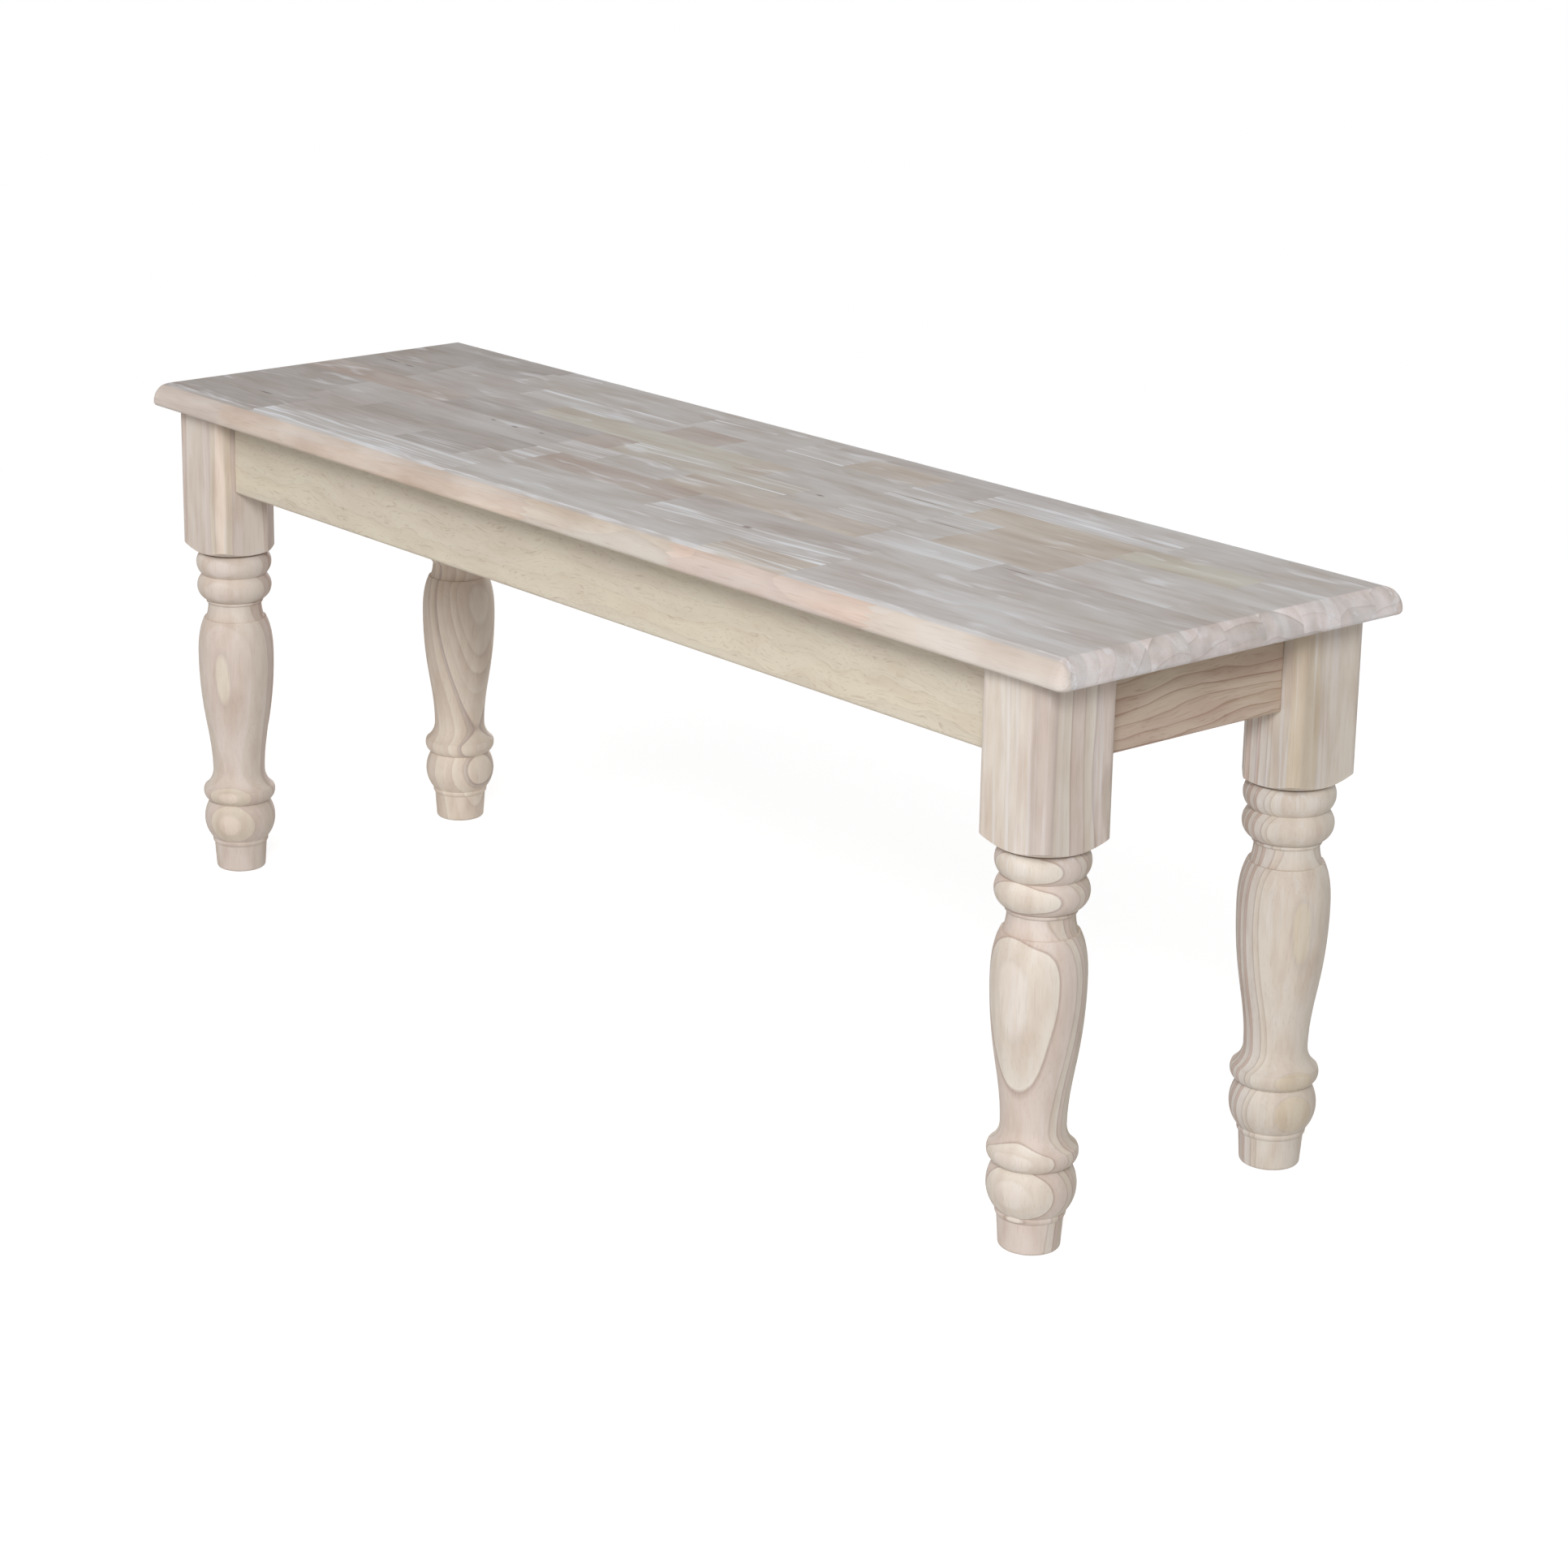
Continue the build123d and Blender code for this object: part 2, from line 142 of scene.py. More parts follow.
# Blocks along each stave from the left end: where each stops, its tone and how streaked it is
# The umber blocks at the staves' left ends also carry painted shade of the seat's far end.
stave_blocks = {
    1: [(-477, "blush", 0), (-15, "peach", 0), (168, "wheat", 0), (399, "salmon", 0), (600, "shell", 0)],
    2: [(-438, "umber_far_shade", 0), (-140, "ash", 1), (190, "ash", 0.15), (290, "tan", 0.7), (600, "chalk", 0.1)],
    3: [(-440, "umber_far_shade", 0.1), (-270, "dun", 0.2), (-185, "umber_far_shade", 0.4), (60, "ash", 0), (290, "ash", 1),
        (600, "chalk", 0)],
    4: [(-465, "umber_far_shade", 0), (-390, "dun", 0.1), (-165, "umber_far_shade", 0), (-130, "ash", 0.9), (60, "rose", 0),
        (280, "dun", 0), (600, "ash", 0)],
    5: [(-475, "umber_far_shade", 0), (-165, "dun", 0.15), (-95, "ash", 0.8), (0, "ash", 0), (240, "tan", 0),
        (370, "chalk", 0.6), (600, "dun", 0)],
    6: [(-365, "rose", 0), (-170, "umber_far_shade", 0.2), (-125, "rose", 0), (100, "putty", 0.8), (160, "ash", 0),
        (230, "ash", 0.6), (280, "ash", 0), (405, "tan", 0), (530, "chalk", 0.1), (600, "ash", 0)],
    7: [(-475, "umber_far_shade", 0), (-280, "dun", 0), (0, "putty", 0.15), (35, "tan", 0), (230, "ash", 0),
        (285, "ash", 0.6), (405, "tan", 0.2), (600, "ash", 0)],
    8: [(-480, "umber_far_shade", 0), (-350, "dun", 0.1), (-145, "ash", 1), (-70, "rose", 0), (140, "ash", 0),
        (235, "ash", 1), (400, "tan", 0.1), (520, "putty", 0), (600, "ash", 0)],
    9: [(-400, "umber_far_shade", 0), (-155, "ash", 0), (-75, "ash", 0.9), (-25, "ash", 0), (50, "ash", 0.8),
        (145, "tan", 0), (205, "dun", 0), (415, "chalk", 1), (600, "ash", 0.1)],
    10: [(-390, "umber_far_shade", 0), (-340, "dun", 0.9), (0, "ash", 0), (300, "dun", 0), (600, "ash", 0)],
}
front_stave = 1
back_stave = len(stave_blocks)

# Pin knots and dark flecks on the staves: X, Y, half length and half width, in mm
stave_marks = {
    3: [(-490, -115, 11, 1.5), (165, -95, 6, 3)],
    5: [(-272, -20, 4, 1.5), (-238, -22, 5, 2), (-203, -19, 4, 1.5), (392, -24, 20, 1)],
    6: [(118, 20, 5, 2)],
    7: [(-545, 60, 14, 1.5), (-515, 59, 8, 1.5), (255, 33, 26, 1)],
    8: [(182, 73, 36, 1)],
}

# Legs, in mm: where the outward side of each blank's rings heads, in degrees from +X, the slope at which they
# lean, how deep the heart of the tree lies behind the leg's axis, how streaked the wood is, the tone of the
# inmost growth, and then each ring line's distance from the axis at the vase's widest, its strength and the
# tone beyond it
leg_blanks = {
    "leg_front_right": {
        "heading": -72, "lean": -0.016, "pith": 30.0, "streaked": 0.3, "inmost": "straw",
        "rings": [
            (-14, 0.45, "wheat"), (-4, 0.4, "straw"), (5, 0.5, "cream"), (12.5, 0.5, "blush"),
            (16, 0.55, "cream"), (20.5, 0.55, "blush"), (28.1, 0.65, "cream"), (33.6, 0.2, "shell"),
            (38, 0.3, "dusk"),
        ],
    },
    "leg_front_left": {
        "heading": -50.5, "lean": -0.048, "pith": 100.0, "streaked": 0.15, "inmost": "blush",
        "rings": [
            (-36, 0.3, "shell"), (-24, 0.3, "pink"), (-12, 0.3, "blush"), (-3, 0.25, "pink"),
            (6, 0.3, "blush"), (14.5, 0.35, "shell"), (28, 0.15, "blush"), (34.6, 0.3, "wheat"),
            (39.2, 0.1, "peach"),
        ],
    },
    "leg_back_right": {
        "heading": -18.5, "lean": -0.03, "pith": 200.0, "streaked": 0.4, "inmost": "blush",
        "rings": [
            (-14, 0.3, "blush"), (-6, 0.5, "milk"), (-2, 0.8, "pink"), (2, 0.5, "milk"), (7.3, 0.8, "pink"),
            (10, 0.3, "milk"), (16.2, 0.7, "cream"), (20, 0.4, "cream"), (34.2, 0.3, "oat"),
            (41, 0.1, "cream"),
        ],
    },
    # This leg's pale tones are painted light, which lifts it out of the shade under the seat.
    "leg_back_left": {
        "heading": 6, "lean": 0.115, "pith": 200.0, "streaked": 0.1, "inmost": "ivory_painted_light",
        "rings": [
            (-27, 0.25, "linen_painted_light"), (-16, 0.25, "ivory_painted_light"), (-6, 0.2, "linen_painted_light"), (1, 0.25, "ivory_painted_light"),
            (8.9, 0.5, "blush"), (11.2, 0.5, "ivory_painted_light"), (18, 0.2, "linen_painted_light"), (23.8, 0.3, "ivory_painted_light"),
            (28.4, 0.35, "linen_painted_light"), (34, 0.2, "linen_painted_light"),
        ],
    },
}
vase_widest = 208.5  # height of the vase's widest girth
shoulder_rise = 100.0  # from there up to the square block, in which the rings stand upright
shoulder_blend = 20.0  # over which the block's streaks fade out below it
ring_reach = 52.0  # the farthest of any wood from a leg's axis
turned_share = 0.3  # how much of the block's streaks is left where the leg is turned
late_share = 0.25  # how much of the late wood's tint a year takes on
late_ends = -0.7  # where the late wood stops, from its ring line's distance
line_darkest = -0.1  # where the line is darkest, from the same distance
next_starts = 0.3  # where the next year's tone starts, from there too


def linear(colour):
    """Linear red, green, blue and alpha of an sRGB hex colour."""
    levels = [int(colour[place:place + 2], 16) / 255 for place in (1, 3, 5)]
    return [
        level / 12.92 if level <= 0.04045 else ((level + 0.055) / 1.055) ** 2.4 for level in levels
    ] + [1.0]


def add(tree, kind, *values, **named):
    """Add a shader node and return its first live output.

    Values go to the live sockets in order, and one named with a capital to the socket of that name. Other
    named values are the node's own settings. A value that is a socket is linked.
    """
    node = tree.nodes.new("ShaderNode" + kind)
    for name, value in named.items():
        if name[0].islower():
            setattr(node, name, value)
    live = [socket for socket in node.inputs if socket.enabled]
    by_name = {socket.name.replace(" ", "_"): socket for socket in reversed(live)}
    pairs = list(zip(live, values))
    pairs += [(by_name[name], value) for name, value in named.items() if name[0].isupper()]
    for socket, value in pairs:
        if isinstance(value, bpy.types.NodeSocket):
            tree.links.new(value, socket)
        else:
            socket.default_value = value
    return next((output for output in node.outputs if output.enabled), None)


def new_tree(name):
    """Empty node tree of a new material, and the material."""
    material = bpy.data.materials.new(name)
    material.use_nodes = True
    material.node_tree.nodes.clear()
    return material.node_tree, material


def board_spot(tree, centre, grain, radial):
    """Place in a board's own frame, in mm: X outwards across its growth rings and Z along its grain."""
    turn = Matrix((radial, grain.cross(radial), grain)).transposed().to_euler()
    spot = add(tree, "TexCoord").node.outputs["Object"]
    return add(
        tree, "Mapping", spot, vector_type="TEXTURE", Location=centre, Rotation=turn, Scale=(MM, MM, MM)
    )


def mottle(tree, spot, width, length, detail=1.0, **settings):
    """Noise whose patches are width mm across the grain and length mm along it."""
    squeeze = (1 / width, 1 / width, 1 / length)
    squeezed = add(tree, "VectorMath", spot, squeeze, operation="MULTIPLY")
    return add(tree, "TexNoise", squeezed, Scale=1.0, Detail=detail, **settings)


def wandering(tree, spot, swing, width, length):
    """Spot pushed across the grain by slow noise, by up to about swing mm, as a tree's growth wanders."""
    push = mottle(tree, spot, width, length, normalize=False).node.outputs["Color"]
    return add(tree, "VectorMath", push, (swing, swing, 0), spot, operation="MULTIPLY_ADD")


def smeared(tree, spot, colour, width, length, depth):
    """Colour with soft warm smears along the grain, where more sap dried in the wood."""
    cloud = mottle(tree, spot, width, length, detail=3.0)
    cloud = add(tree, "MapRange", cloud, From_Min=0.42, From_Max=0.72, To_Max=depth)
    return add(tree, "Mix", cloud, colour, linear(late_wood), **staining)


def growth_rings(tree, spot, pith, spacing):
    """Share of the way through a year's growth, and the year's number.

    The count is the distance from the pith, which lies pith mm inwards of the board's axis, over the spacing.
    """
    level = add(tree, "VectorMath", spot, (1, 1, 0), (pith, 0, 0), operation="MULTIPLY_ADD")
    reach = add(tree, "VectorMath", level, operation="LENGTH")
    count = add(tree, "Math", reach, spacing, operation="DIVIDE")
    return add(tree, "Math", count, operation="FRACT"), add(tree, "Math", count, operation="FLOOR")


def ringed_colour(tree, spot, tone, blush, rings, line, late):
    """Colour of the years' growth: each has its share of blush, darkens and stops at a thin brown line."""
    share, year = rings
    dice = add(tree, "TexWhiteNoise", year, noise_dimensions="1D").node.outputs["Color"]
    dice = add(tree, "SeparateColor", dice).node.outputs
    cloud = mottle(tree, spot, width=24.0, length=150.0, detail=2.0)
    blend = add(tree, "Math", dice["Red"], year_swing, cloud, operation="MULTIPLY_ADD")
    blend = add(tree, "MapRange", blend, From_Min=0.4, From_Max=1.0)
    colour = add(tree, "Mix", blend, tone, blush, data_type="RGBA")
    ripe = add(tree, "Math", share, ripening, operation="POWER")
    ripe = add(tree, "Math", ripe, late, operation="MULTIPLY")
    colour = add(tree, "Mix", ripe, colour, linear(late_wood), **staining)
    stop = add(tree, "MapRange", share, From_Min=0.85, From_Max=0.98, interpolation_type="SMOOTHSTEP")
    strong = add(tree, "MapRange", dice["Green"], To_Min=0.2, To_Max=1.0)
    strong = add(tree, "Math", strong, line, operation="MULTIPLY")
    stop = add(tree, "Math", stop, strong, operation="MULTIPLY")
    return add(tree, "Mix", stop, colour, linear(ring_line), **staining)


def open_vessels(tree, spot, length):
    """Fine dashes along the grain, from nought to one, where the cut vessels lie open."""
    dashes = mottle(tree, spot, vessel_width, length)
    return add(tree, "MapRange", dashes, From_Min=0.57, From_Max=0.79)


def bare_wood(tree, colour, dashes, depth):
    """Matt shader of bare wood: darker by the depth, a little rougher and lower along the dashes."""
    dark = add(tree, "Math", dashes, depth, operation="MULTIPLY")
    colour = add(tree, "Mix", dark, colour, linear(vessel_tint), **staining)
    roughness = add(tree, "MapRange", dashes, To_Min=0.7, To_Max=0.85)
    dents = add(tree, "Bump", Strength=0.25, Distance=vessel_depth * MM, Height=dashes, invert=True)
    shader = add(
        tree, "BsdfPrincipled", Base_Color=colour, Roughness=roughness, Normal=dents, Specular_IOR_Level=0.3
    )
    add(tree, "OutputMaterial", Surface=shader)


def raised_streaks(tree, spot, streaked):
    """Share of pale woolly fibre at a spot: long narrow streaks along the grain, in a thin haze of fibre."""
    spot = wandering(tree, spot, swing=5.0, width=60.0, length=190.0)
    streaks = mottle(tree, spot, width=4.0, length=500.0)
    streaks = add(tree, "MapRange", streaks, From_Min=0.5, From_Max=0.62, interpolation_type="SMOOTHSTEP")
    haze = mottle(tree, spot, width=20.0, length=110.0, detail=2.0)
    haze = add(tree, "MapRange", haze, From_Min=0.3, From_Max=0.62)
    share = add(tree, "MapRange", streaks, To_Min=0.12, To_Max=1.0)
    share = add(tree, "Math", share, haze, operation="MULTIPLY")
    return add(tree, "Math", share, streaked, operation="MULTIPLY")


def ring_ramp(tree, reach, inmost, rings):
    """Colour at a reach from a leg's axis: a year's tone darkens a little, then stops at its ring line."""
    place = add(tree, "MapRange", reach, From_Min=-ring_reach, From_Max=ring_reach)
    ramp = add(tree, "ValToRGB", place).node
    stops = ramp.color_ramp.elements
    stops.remove(stops[1])
    dark = linear(ring_line)
    ripe = linear(late_wood)
    year = linear(tones[inmost])
    stops[0].color = year
    for distance, strength, tone in rings:
        late = [level * (1 - late_share + late_share * tint) for level, tint in zip(year, ripe)]
        line = [level * (1 - strength + strength * tint) for level, tint in zip(year, dark)]
        year = linear(tones[tone])
        for offset, colour in ((late_ends, late), (line_darkest, line), (next_starts, year)):
            stops.new((distance + offset + ring_reach) / (2 * ring_reach)).color = colour
    return ramp.outputs["Color"]


def turned_rubberwood(piece, heading, lean, pith, streaked, inmost, rings):
    """Turned and sanded leg: its broad growth bands cross the swellings as ovals and contour lines."""
    tree, material = new_tree(f"turned_rubberwood_{piece}")
    low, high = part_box(piece)
    centre = (low + high) / 2
    centre.z = vase_widest * MM
    angle = math.radians(heading)
    spot = board_spot(tree, centre, upright, Vector((math.cos(angle), math.sin(angle), 0)))
    grown = wandering(tree, spot, swing=2.5, width=45.0, length=130.0)
    grown = add(tree, "SeparateXYZ", grown).node.outputs
    climb = add(tree, "Math", grown["Z"], shoulder_rise, operation="MINIMUM")
    outward = add(tree, "Math", climb, lean, grown["X"], operation="MULTIPLY_ADD")
    outward = add(tree, "Math", outward, pith, operation="ADD")
    across = add(tree, "CombineXYZ", outward, grown["Y"])
    reach = add(tree, "VectorMath", across, operation="LENGTH")
    reach = add(tree, "Math", reach, pith, operation="SUBTRACT")
    colour = ring_ramp(tree, reach, inmost, rings)
    colour = smeared(tree, spot, colour, width=16.0, length=60.0, depth=0.4)
    streaked = add(
        tree, "MapRange", grown["Z"], From_Min=shoulder_rise - shoulder_blend, From_Max=shoulder_rise,
        To_Min=streaked * turned_share, To_Max=streaked
    )
    woolly = raised_streaks(tree, spot, streaked)
    colour = add(tree, "Mix", woolly, colour, linear(pale_fibre), data_type="RGBA")
    bare_wood(tree, colour, open_vessels(tree, spot, length=26.0), depth=0.25)
    nodes[piece].material_slots[0].material = material


def planed_rubberwood(piece, grain, tone, blush, spacing, line, curl, cloudy):
    """Planed and sanded apron: wavering grain lines, cloudy bands and short curly vessel flecks."""
    tree, material = new_tree(f"planed_rubberwood_{piece}")
    low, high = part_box(piece)
    spot = board_spot(tree, (low + high) / 2, grain, upright)
    wavy = wandering(tree, spot, swing=9.0, width=45.0, length=150.0)
    curly = wandering(tree, wavy, swing=curl, width=12.0, length=40.0)
    rings = growth_rings(tree, curly, pith=90.0, spacing=spacing)
    colour = ringed_colour(
        tree, curly, linear(tones[tone]), linear(tones[blush]), rings, line=line, late=line
    )
    colour = smeared(tree, curly, colour, width=12.0, length=70.0, depth=cloudy)
    bare_wood(tree, colour, open_vessels(tree, curly, length=26.0), depth=0.5)
    nodes[piece].material_slots[0].material = material


def sawn_rubberwood(piece, grain):
    """Sawn block inside the frame, never sanded: duller, with the saw's strokes across the grain."""
    tree, material = new_tree(f"sawn_rubberwood_{piece}")
    low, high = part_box(piece)
    spot = board_spot(tree, (low + high) / 2, grain, upright)
    grown = wandering(tree, spot, swing=6.0, width=40.0, length=120.0)
    rings = growth_rings(tree, grown, pith=70.0, spacing=8.0)
    colour = ringed_colour(
        tree, spot, linear(tones["fawn"]), linear(tones["straw"]), rings, line=0.4, late=0.3
    )
    strokes = mottle(tree, spot, width=50.0, length=2.5)
    strokes = add(tree, "MapRange", strokes, From_Min=0.4, From_Max=0.75, To_Max=0.45)
    colour = add(tree, "Mix", strokes, colour, linear(saw_tint), **staining)
    bare_wood(tree, colour, strokes, depth=0.3)
    nodes[piece].material_slots[0].material = material


def finger_blocks(tree, spot, blocks, seed):
    """Tone and streaking of the finger-jointed block at a spot, and the spot in the block's own grain.

    The joints zigzag up the stave's edge and run straight across its top. Each block was cut from another
    place in a tree, so its spot is shifted, and its grain slants a little.
    """
    split = add(tree, "SeparateXYZ", spot).node.outputs
    fingers = add(tree, "Math", split["X"], finger_pitch / 2, operation="PINGPONG")
    steepness = 2 * finger_length / finger_pitch
    along = add(tree, "Math", fingers, steepness, split["Z"], operation="MULTIPLY_ADD")
    place = add(tree, "Math", along, 1 / seat_length, 0.5, operation="MULTIPLY_ADD")
    tone_ramp = add(tree, "ValToRGB", place).node
    trait_ramp = add(tree, "ValToRGB", place).node
    start = 0.0
    for number, (end, tone, streaks) in enumerate(blocks):
        grain_seed = (seed * stave_step + number * block_step) % 1
        for ramp, colour in ((tone_ramp, linear(tones[tone])), (trait_ramp, (streaks, grain_seed, 0, 1))):
            ramp.color_ramp.interpolation = "CONSTANT"
            stops = ramp.color_ramp.elements
            stop = stops[number] if number < 2 else stops.new(start)  # a new ramp has two
            stop.position = start
            stop.color = colour
        start = end / seat_length + 0.5
    traits = add(tree, "SeparateColor", trait_ramp.outputs["Color"]).node.outputs
    dice = add(tree, "TexWhiteNoise", traits["Green"], noise_dimensions="1D").node.outputs["Color"]
    shifted = add(tree, "VectorMath", dice, block_shift, spot, operation="MULTIPLY_ADD")
    slant = add(tree, "SeparateColor", dice).node.outputs["Blue"]
    slant = add(tree, "MapRange", slant, To_Min=-block_slant, To_Max=block_slant)
    sideways = add(tree, "Math", slant, split["Z"], operation="MULTIPLY")
    sideways = add(tree, "CombineXYZ", 0.0, sideways)
    block_spot = add(tree, "VectorMath", shifted, sideways, operation="ADD")
    return tone_ramp.outputs["Color"], traits["Red"], block_spot


def torn_patches(tree, spot):
    """Share of pale fibre in small torn patches, which the sander left here and there across the blocks."""
    spot = wandering(tree, spot, swing=7.0, width=30.0, length=70.0)
    patches = mottle(tree, spot, width=13.0, length=85.0, detail=2.0)
    return add(
        tree, "MapRange", patches, From_Min=0.57, From_Max=0.74, To_Max=0.5, interpolation_type="SMOOTHSTEP"
    )


def crease_pale_line(tree, spot):
    """Share of a thin pale line along the front and back creases, broken into short streaks."""
    place = add(tree, "TexCoord").node.outputs["Object"]
    place = add(tree, "SeparateXYZ", place).node.outputs["Y"]
    off = add(tree, "Math", place, operation="ABSOLUTE")
    off = add(tree, "Math", off, side_crease * MM, operation="SUBTRACT")
    off = add(tree, "Math", off, operation="ABSOLUTE")
    tufts = mottle(tree, spot, width=2.0, length=30.0, detail=2.0)
    tufts = add(tree, "MapRange", tufts, From_Min=0.4, From_Max=0.65, To_Max=0.8)
    near = add(tree, "MapRange", off, From_Min=2.0 * MM, From_Max=0.5 * MM)
    return add(tree, "Math", near, tufts, operation="MULTIPLY")


def clean_cut(tree, tone):
    """Tone that is warmer past the back crease, where the moulding cutter left a cleaner face."""
    place = add(tree, "TexCoord").node.outputs["Object"]
    place = add(tree, "SeparateXYZ", place).node.outputs["Y"]
    past = add(tree, "MapRange", place, From_Min=side_crease * MM, From_Max=(side_crease + 1.0) * MM)
    return add(tree, "Mix", past, tone, linear(tones["blush"]), data_type="RGBA")


def dark_mark(tree, colour, x, y, half_length, half_width):
    """Colour darkened over a small soft oval on the seat: a pin knot or a fleck."""
    spot = add(tree, "TexCoord").node.outputs["Object"]
    squeeze = (1 / (half_length * MM), 1 / (half_width * MM), 0)
    centred = (-x / half_length, -y / half_width, 0)
    oval = add(tree, "VectorMath", spot, squeeze, centred, operation="MULTIPLY_ADD")
    reach = add(tree, "VectorMath", oval, operation="LENGTH")
    inside = add(
        tree, "MapRange", reach, From_Min=1.3, From_Max=0.3, To_Max=0.7, interpolation_type="SMOOTHSTEP"
    )
    return add(tree, "Mix", inside, colour, linear(mark_tint), **staining)


def edge_glued_rubberwood(number, blocks):
    """One stave of the seat: blocks of many tones with pale raised fibre, and end grain at its ends."""
    piece = f"seat_stave_{number}"
    tree, material = new_tree(f"edge_glued_rubberwood_{number}")
    low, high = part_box(piece)
    spot = board_spot(tree, (low + high) / 2, along_x, upright)
    across_seat = board_spot(tree, Vector(), along_x, upright)
    tone, streaked, block_spot = finger_blocks(tree, spot, blocks, number)
    if number == back_stave:
        tone = clean_cut(tree, tone)
    grown = wandering(tree, block_spot, swing=7.0, width=50.0, length=170.0)
    rings = growth_rings(tree, grown, pith=20.0, spacing=12.0)
    warm = add(tree, "Mix", 0.5, tone, linear(tones["dun"]), data_type="RGBA")

    along = add(tree, "SeparateXYZ", spot).node.outputs["Z"]
    along = add(tree, "Math", along, operation="ABSOLUTE")
    ending = add(tree, "MapRange", along, From_Min=end_crease - 0.5, From_Max=end_crease + 1.0)
    paleness = 0.2 if number == front_stave else 0.8
    pale_end = add(tree, "Math", ending, paleness, operation="MULTIPLY")
    tone = add(tree, "Mix", pale_end, tone, linear(end_grain), data_type="RGBA")
    line = add(tree, "MapRange", ending, To_Min=0.06, To_Max=0.25)

    colour = ringed_colour(tree, grown, tone, warm, rings, line=line, late=0.1)
    colour = smeared(tree, grown, colour, width=17.0, length=90.0, depth=0.4)
    colour = smeared(tree, across_seat, colour, width=28.0, length=110.0, depth=0.42)
    woolly = raised_streaks(tree, block_spot, streaked)
    if number != front_stave:
        woolly = add(tree, "Math", woolly, torn_patches(tree, across_seat), operation="MAXIMUM")
    woolly = add(tree, "Math", woolly, crease_pale_line(tree, spot), operation="MAXIMUM")
    colour = add(tree, "Mix", woolly, colour, linear(pale_fibre), data_type="RGBA")
    for mark in stave_marks.get(number, ()):
        colour = dark_mark(tree, colour, *mark)
    bare_wood(tree, colour, open_vessels(tree, block_spot, length=45.0), depth=0.3)
    nodes[piece].material_slots[0].material = material


def zinc_plated_steel():
    """Bright zinc on steel hardware: pale, slightly blue metal with a faint spangle."""
    tree, material = new_tree("zinc_plated_steel")
    spot = add(tree, "TexCoord").node.outputs["Object"]
    spangle = add(tree, "TexNoise", spot, Scale=1 / (spangle_size * MM), Detail=2.0)
    roughness = add(tree, "MapRange", spangle, To_Min=0.25, To_Max=0.45)
    colour = add(tree, "Mix", spangle, linear(zinc_dull), linear(zinc_bright), data_type="RGBA")
    shader = add(tree, "BsdfPrincipled", Base_Color=colour, Roughness=roughness, Metallic=1.0)
    add(tree, "OutputMaterial", Surface=shader)
    return material


def make_camera():
    """Camera at the photograph's place, angle and framing."""
    data = bpy.data.cameras.new("camera")
    data.sensor_fit = "HORIZONTAL"
    data.sensor_width = camera_sensor
    data.lens = camera_lens
    data.shift_x, data.shift_y = camera_shift
    camera = bpy.data.objects.new("camera", data)
    camera.location = [value * MM for value in camera_place]
    camera.rotation_euler = [math.radians(angle) for angle in camera_turn]
    bpy.context.scene.collection.objects.link(camera)
    bpy.context.scene.camera = camera


def seen_directly(tree):
    """One for what the camera sees straight, in a reflection or through glass, and nought for other light."""
    paths = add(tree, "LightPath").node.outputs
    shown = add(tree, "Math", paths["Is Camera Ray"], paths["Is Glossy Ray"], operation="MAXIMUM")
    return add(tree, "Math", shown, paths["Is Transmission Ray"], operation="MAXIMUM")


def pale_floor():
    """Matt pale floor paint: it shows white, with the bench's faint shadow, and lights the bench as paint."""
    tree, material = new_tree("pale_floor")
    lit = add(tree, "BsdfDiffuse", linear(floor_paint))
    answer = add(tree, "BsdfDiffuse", (floor_answer, floor_answer, floor_answer, 1))
    glow = add(tree, "Emission", white, floor_glow)
    near = add(tree, "AddShader", answer, glow)
    far = add(tree, "Emission", white, 1.0)
    spot = add(tree, "TexCoord").node.outputs["Object"]
    distance = add(tree, "VectorMath", spot, operation="LENGTH")
    start, end = shadow_fades
    fade = add(tree, "MapRange", distance, From_Min=start, From_Max=end, interpolation_type="SMOOTHSTEP")
    shown = add(tree, "MixShader", fade, near, far)
    shader = add(tree, "MixShader", seen_directly(tree), lit, shown)
    add(tree, "OutputMaterial", Surface=shader)
    return material


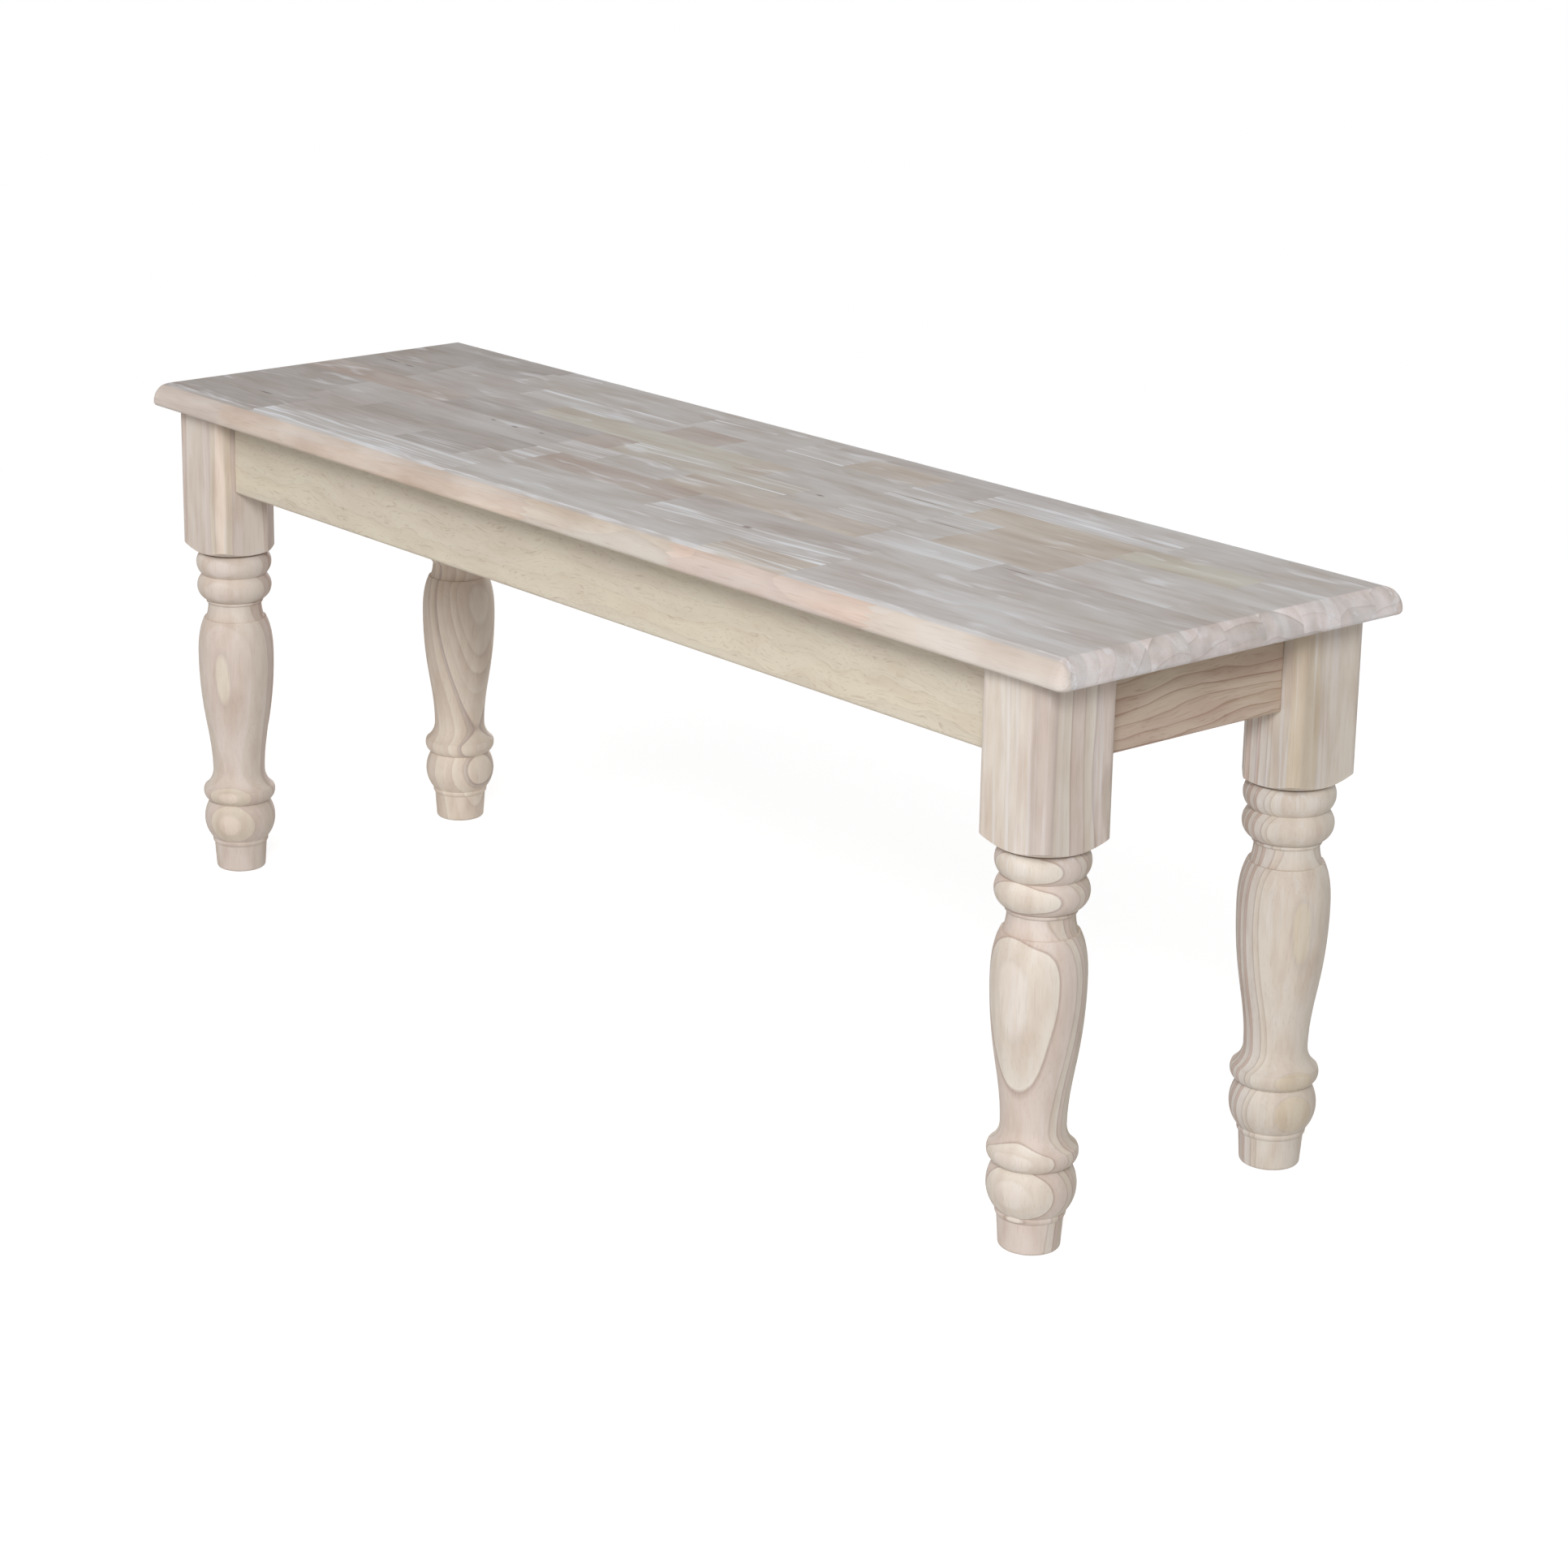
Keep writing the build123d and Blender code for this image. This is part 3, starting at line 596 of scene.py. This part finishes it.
def make_floor():
    """Large square floor under the bench."""
    mesh = bpy.data.meshes.new("floor")
    signs = ((-1, -1), (1, -1), (1, 1), (-1, 1))
    mesh.from_pydata([(x * floor_reach, y * floor_reach, 0) for x, y in signs], [], [(0, 1, 2, 3)])
    mesh.materials.append(pale_floor())
    floor = bpy.data.objects.new("floor", mesh)
    bpy.context.scene.collection.objects.link(floor)


def make_world():
    """White all round, as the camera and reflections see it, and a weak, slightly warm even light."""
    world = bpy.data.worlds.new("studio")
    world.use_nodes = True
    tree = world.node_tree
    tree.nodes.clear()
    shown = seen_directly(tree)
    strength = add(tree, "MapRange", shown, To_Min=even_light, To_Max=1.0)
    colour = add(tree, "Mix", shown, linear(even_tint), white, data_type="RGBA")
    even = add(tree, "Background", colour, strength)
    add(tree, "OutputWorld", Surface=even)
    bpy.context.scene.world = world


def make_lamp(name, place, size, power):
    """Square soft box at a place, facing the bench."""
    data = bpy.data.lights.new(name, "AREA")
    data.size = size
    data.energy = power
    data.color = linear(lamp_tint)[:3]
    lamp = bpy.data.objects.new(name, data)
    lamp.location = place
    lamp.rotation_euler = (lamp_aim - Vector(place)).to_track_quat("-Z", "Y").to_euler()
    bpy.context.scene.collection.objects.link(lamp)


for piece, blank in leg_blanks.items():
    turned_rubberwood(piece, **blank)
for side in ("front", "back"):
    planed_rubberwood(
        f"{side}_apron", along_x, "flax", "reed", spacing=16.0, line=0.08, curl=5.0, cloudy=0.2
    )
for side in ("left", "right"):
    planed_rubberwood(
        f"{side}_apron", along_y, "honey", "sienna", spacing=9.0, line=0.5, curl=2.0, cloudy=0.4
    )
for number, blocks in stave_blocks.items():
    edge_glued_rubberwood(number, blocks)
sawn_rubberwood("centre_brace", along_y)
for end in ("front", "back"):
    for side in ("left", "right"):
        slant = 1 if (end == "front") == (side == "right") else -1
        across_corner = Vector((1, slant, 0)).normalized()
        sawn_rubberwood(f"corner_block_{end}_{side}", across_corner)
zinc = zinc_plated_steel()
for piece in ("hanger_bolts", "bolt_washers", "bolt_nuts", "corner_block_screws", "seat_screws"):
    nodes[piece].material_slots[0].material = zinc

make_camera()
make_floor()
make_world()
for name, (place, size, power) in lamps.items():
    make_lamp(name, place, size, power)
bpy.context.scene.view_settings.view_transform = "Standard"
